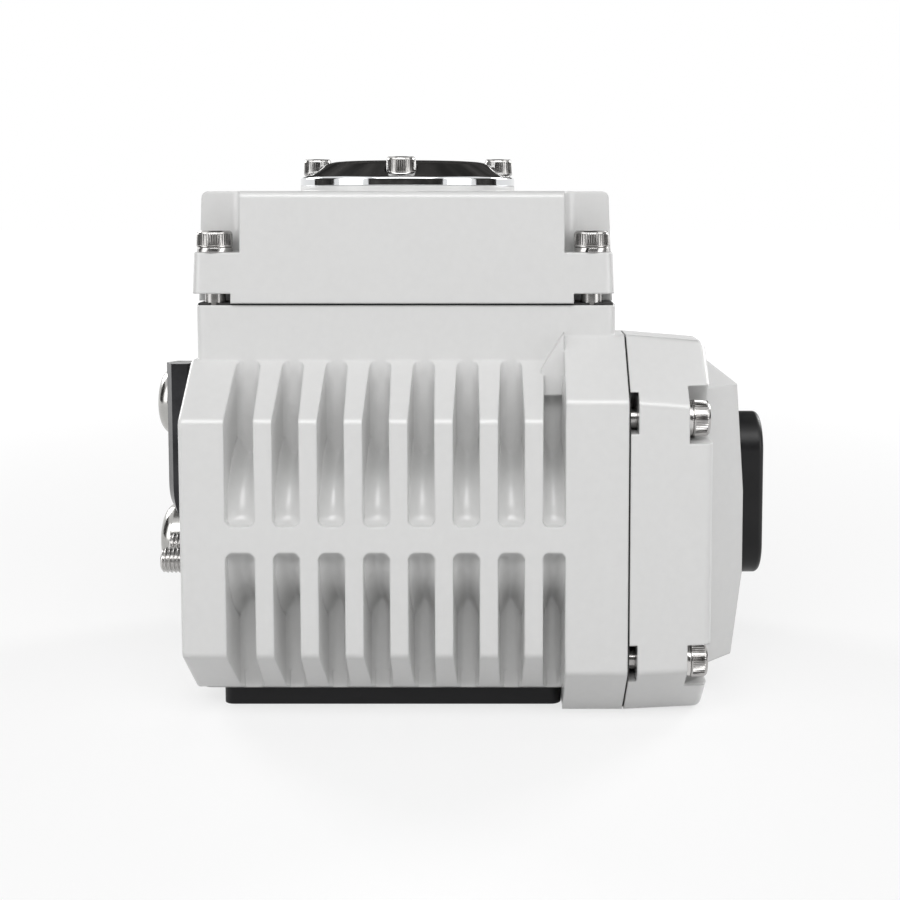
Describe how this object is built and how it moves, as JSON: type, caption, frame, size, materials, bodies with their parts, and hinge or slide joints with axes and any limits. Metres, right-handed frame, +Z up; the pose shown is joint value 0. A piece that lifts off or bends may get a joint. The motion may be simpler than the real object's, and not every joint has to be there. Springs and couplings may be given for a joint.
{
  "type": "electric rotary valve actuator",
  "caption": "Compact electric quarter-turn actuator: ribbed housing, gear cover with hand-drive cap, sight window, stop bolts, cable glands and a valve flange.",
  "frame": {"origin": "on the output axis, in the plane of the bottom mounting face", "axes": "+Z up along the output axis, +X towards the end cover with the hand-drive cap, +Y to the back, so the front seen in the picture faces -Y"},
  "size_m": [0.1962, 0.12, 0.1582],
  "materials": {
    "grey_paint": "satin",
    "dark_base": "satin",
    "black_rubber": "matte",
    "cap_black": "satin",
    "bezel_chrome": "polished",
    "screw_steel": "satin",
    "key_steel": "satin",
    "shaft_steel": "satin",
    "nickel_brass": "polished",
    "bronze": "satin",
    "clear_glass": "gloss",
    "dial_plastic": "satin",
    "cam_plastic": "gloss",
    "case_plastic": "gloss",
    "board_green": "satin",
    "terminal_plastic": "satin",
    "capacitor_skin": "gloss",
    "plate_aluminium": "satin"
  },
  "bodies": {
    "housing": {"gear_housing": "grey_paint", "end_cover": "grey_paint", "top_cover": "grey_paint", "mounting_base": "dark_base", "base_screws": "screw_steel", "end_cover_screws": "screw_steel", "end_cover_washers": "screw_steel", "top_cover_screws": "screw_steel", "top_cover_washers": "screw_steel", "bezel_screws": "screw_steel", "plate_screws": "screw_steel", "tray_screws": "screw_steel", "motor_screws": "screw_steel", "clip_screws": "screw_steel", "key_clips": "screw_steel", "tray_posts": "screw_steel", "board_posts": "screw_steel", "stop_lock_nuts": "screw_steel", "front_stop_bolt": "shaft_steel", "rear_stop_bolt": "shaft_steel", "worm_bearings": "shaft_steel", "bearing_ring": "shaft_steel", "motor_can": "shaft_steel", "lower_bush": "bronze", "upper_bush": "bronze", "hand_bush": "bronze", "shaft_seal": "black_rubber", "hand_seal": "black_rubber", "glass_seal": "black_rubber", "gland_seals": "black_rubber", "end_cover_gasket": "black_rubber", "top_cover_gasket": "black_rubber", "bezel_ring": "bezel_chrome", "sight_glass": "clear_glass", "lower_gland_body": "nickel_brass", "upper_gland_body": "nickel_brass", "gland_nuts": "nickel_brass", "open_switch": "case_plastic", "close_switch": "case_plastic", "control_board": "board_green", "terminal_block": "terminal_plastic", "run_capacitor": "capacitor_skin", "gearbox_plate": "plate_aluminium", "instrument_tray": "plate_aluminium", "switch_bracket": "plate_aluminium"},
    "output_train": {"output_shaft": "shaft_steel", "worm_wheel": "bronze", "wheel_key": "shaft_steel", "cam_shaft": "shaft_steel", "open_cam": "cam_plastic", "close_cam": "cam_plastic", "position_dial": "dial_plastic"},
    "worm_train": {"worm_shaft": "shaft_steel", "worm_gear": "shaft_steel"},
    "hand_train": {"hand_shaft": "shaft_steel", "hand_gear": "shaft_steel"},
    "motor_armature": {"motor_rotor": "shaft_steel"},
    "pull_off_cap": {"override_cap": "cap_black"},
    "stored_key": {"hex_key": "key_steel"}
  },
  "joints": [
    {"name": "motor_turn", "type": "hinge", "parent": "housing", "child": "motor_armature", "pos_m": [0, 0, 0.0836], "axis": [1, 0, 0], "range_deg": [0, 32400]},
    {"name": "output_turn", "type": "hinge", "parent": "housing", "child": "output_train", "pos_m": [0, 0, 0], "axis": [0, 0, 1], "range_deg": [0, 90]},
    {"name": "worm_turn", "type": "hinge", "parent": "housing", "child": "worm_train", "pos_m": [0, 0.03, 0.054], "axis": [1, 0, 0], "range_deg": [0, 3240]},
    {"name": "hand_turn", "type": "hinge", "parent": "housing", "child": "hand_train", "pos_m": [0, 0, 0.054], "axis": [1, 0, 0], "range_deg": [-7560, 0]},
    {"name": "cap_pull", "type": "slide", "parent": "housing", "child": "pull_off_cap", "axis": [1, 0, 0], "range_m": [0, 0.03]},
    {"name": "key_pull", "type": "slide", "parent": "housing", "child": "stored_key", "axis": [-1, 0, 0], "range_m": [0, 0.05]}
  ],
  "couplings": [
    {"joint": "output_turn", "follows": "motor_turn", "ratio": 0.0027778},
    {"joint": "worm_turn", "follows": "motor_turn", "ratio": 0.1},
    {"joint": "hand_turn", "follows": "motor_turn", "ratio": -0.23333}
  ]
}
